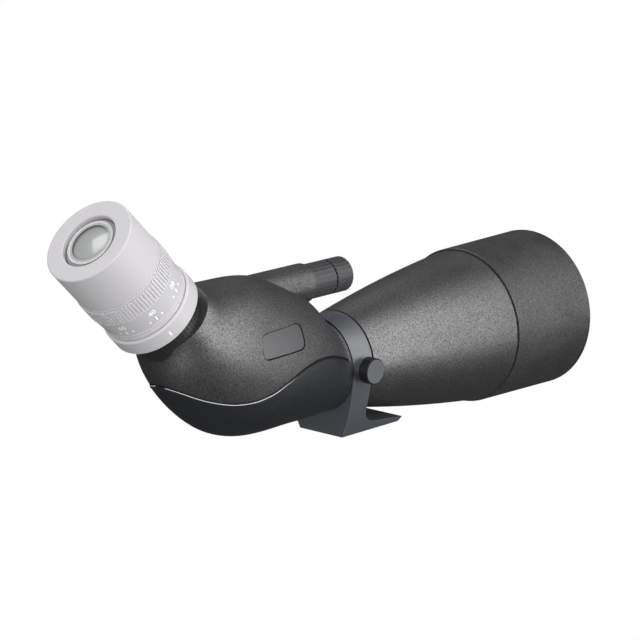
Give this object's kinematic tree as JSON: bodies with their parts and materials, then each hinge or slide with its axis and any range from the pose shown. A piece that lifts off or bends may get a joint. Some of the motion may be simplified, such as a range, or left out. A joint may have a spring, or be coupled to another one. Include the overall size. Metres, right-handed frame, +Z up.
{
  "type": "spotting scope",
  "caption": "Angled spotting scope with a rotating tripod collar, sliding lens hood, dual-speed focus knobs, zoom eyepiece and twist-up eyecup.",
  "frame": {"origin": "mouth of the tripod thread, centre of the foot's base face", "axes": "+X forward along the optical axis towards the objective, +Z up from the foot, +Y to the left"},
  "size_m": [0.3764, 0.093, 0.1619],
  "materials": {
    "armour": "fine stippled matte armour",
    "cover_satin": "smooth satin",
    "collar_grey": "smooth satin paint",
    "plate_grey": "smooth matte, bare",
    "knob_black": "finely knurled",
    "cap_grey": "brushed satin",
    "knob_rubber": "ribbed matte",
    "knob_core": "matte",
    "felt_rubber": "matte",
    "polymer": "low friction polymer",
    "steel": "turned",
    "brass": "turned",
    "black_anodised": "matte black anodised",
    "glass": "coated optical glass",
    "eyepiece_pale": "pale satin",
    "eyepiece_rubber": "pale matte rubber",
    "eyepiece_inner": "matte grey"
  },
  "bodies": {
    "mount": {"tripod_collar": "collar_grey", "thread_insert": "steel", "collar_liner": "polymer", "lock_shoe": "polymer"},
    "scope": {"barrel": "armour", "neck_nut": "black_anodised", "barrel_baffles": "black_anodised", "objective_cell": "black_anodised", "objective_rear_lens": "glass", "objective_spacer": "black_anodised", "objective_front_lens": "glass", "objective_retaining_ring": "black_anodised", "hood_friction_rings": "felt_rubber", "prism_housing": "armour", "lower_cover": "cover_satin", "name_plate": "plate_grey", "focus_bushing": "brass", "roof_prism": "glass", "prism_mask": "black_anodised", "prism_cheeks": "black_anodised", "cheek_screws": "steel", "prism_bulkhead": "black_anodised", "focus_guide_rods": "steel", "eyepiece_socket": "black_anodised", "eyepiece_tube": "eyepiece_pale", "eyepiece_line_ring": "eyepiece_pale", "eyepiece_field_lens": "glass", "field_stop": "black_anodised", "eye_lens_cell": "eyepiece_inner", "eye_lens": "glass", "eye_lens_ring": "eyepiece_inner"},
    "lock_knob": {"lock_knob": "knob_black", "lock_knob_cap": "cap_grey", "lock_screw": "steel"},
    "hood": {"lens_hood": "armour"},
    "coarse_knob": {"coarse_knob_core": "knob_core", "coarse_knob_grip": "knob_rubber", "lead_screw": "brass"},
    "fine_knob": {"fine_knob_core": "knob_core", "fine_knob_grip": "knob_rubber", "fine_shaft": "steel"},
    "focus_carriage": {"focus_carriage": "black_anodised", "focusing_lens": "glass"},
    "zoom_ring": {"zoom_scale_ring": "eyepiece_pale", "zoom_grip": "eyepiece_rubber", "zoom_cam_tube": "black_anodised", "zoom_drive_pin": "steel"},
    "zoom_rear_group": {"zoom_rear_group_cell": "black_anodised", "zoom_rear_group_lens": "glass"},
    "zoom_front_group": {"zoom_front_group_cell": "black_anodised", "zoom_front_group_lens": "glass"},
    "eyecup_guide": {"eyecup_guide_ring": "black_anodised"},
    "eyecup": {"eyecup": "eyepiece_rubber", "eyecup_sleeve": "eyepiece_pale"}
  },
  "joints": [
    {"name": "collar_roll", "type": "hinge", "parent": "mount", "child": "scope", "pos_m": [-0.0176, 0, 0.0403], "axis": [1, 0, 0], "range_deg": [-130, 130]},
    {"name": "lock_knob_turn", "type": "hinge", "parent": "mount", "child": "lock_knob", "pos_m": [-0.0176, -0.0362, 0.0403], "axis": [0, -1, 0], "range_deg": [0, 270]},
    {"name": "hood_slide", "type": "slide", "parent": "scope", "child": "hood", "axis": [1, 0, 0], "range_m": [0, 0.03]},
    {"name": "focus_coarse_turn", "type": "hinge", "parent": "scope", "child": "coarse_knob", "pos_m": [-0.028, 0, 0.0886], "axis": [1, 0, 0], "range_deg": [-540, 540]},
    {"name": "focus_fine_turn", "type": "hinge", "parent": "scope", "child": "fine_knob", "pos_m": [-0.012, 0, 0.0886], "axis": [1, 0, 0], "range_deg": [-2160, 2160]},
    {"name": "focus_carriage_slide", "type": "slide", "parent": "scope", "child": "focus_carriage", "axis": [1, 0, 0], "range_m": [-0.0075, 0.0075]},
    {"name": "zoom_turn", "type": "hinge", "parent": "scope", "child": "zoom_ring", "pos_m": [-0.14788, 0, 0.08862], "axis": [-0.7071, 0, 0.7071], "range_deg": [-85, 85]},
    {"name": "zoom_rear_slide", "type": "slide", "parent": "scope", "child": "zoom_rear_group", "axis": [-0.7071, 0, 0.7071], "range_m": [-0.006, 0.006]},
    {"name": "zoom_front_slide", "type": "slide", "parent": "scope", "child": "zoom_front_group", "axis": [-0.7071, 0, 0.7071], "range_m": [-0.005, 0.005]},
    {"name": "eyecup_rise", "type": "slide", "parent": "scope", "child": "eyecup_guide", "axis": [-0.7071, 0, 0.7071], "range_m": [0, 0.01]},
    {"name": "eyecup_twist", "type": "hinge", "parent": "eyecup_guide", "child": "eyecup", "pos_m": [-0.14788, 0, 0.08862], "axis": [-0.7071, 0, 0.7071], "range_deg": [0, 150]}
  ],
  "couplings": [
    {"joint": "focus_fine_turn", "follows": "focus_coarse_turn", "ratio": 4},
    {"joint": "focus_carriage_slide", "follows": "focus_coarse_turn", "m_per_rad": 0.000795},
    {"joint": "zoom_rear_slide", "follows": "zoom_turn", "m_per_rad": 0.00404},
    {"joint": "zoom_front_slide", "follows": "zoom_turn", "m_per_rad": -0.00337},
    {"joint": "eyecup_rise", "follows": "eyecup_twist", "m_per_rad": 0.003819}
  ]
}
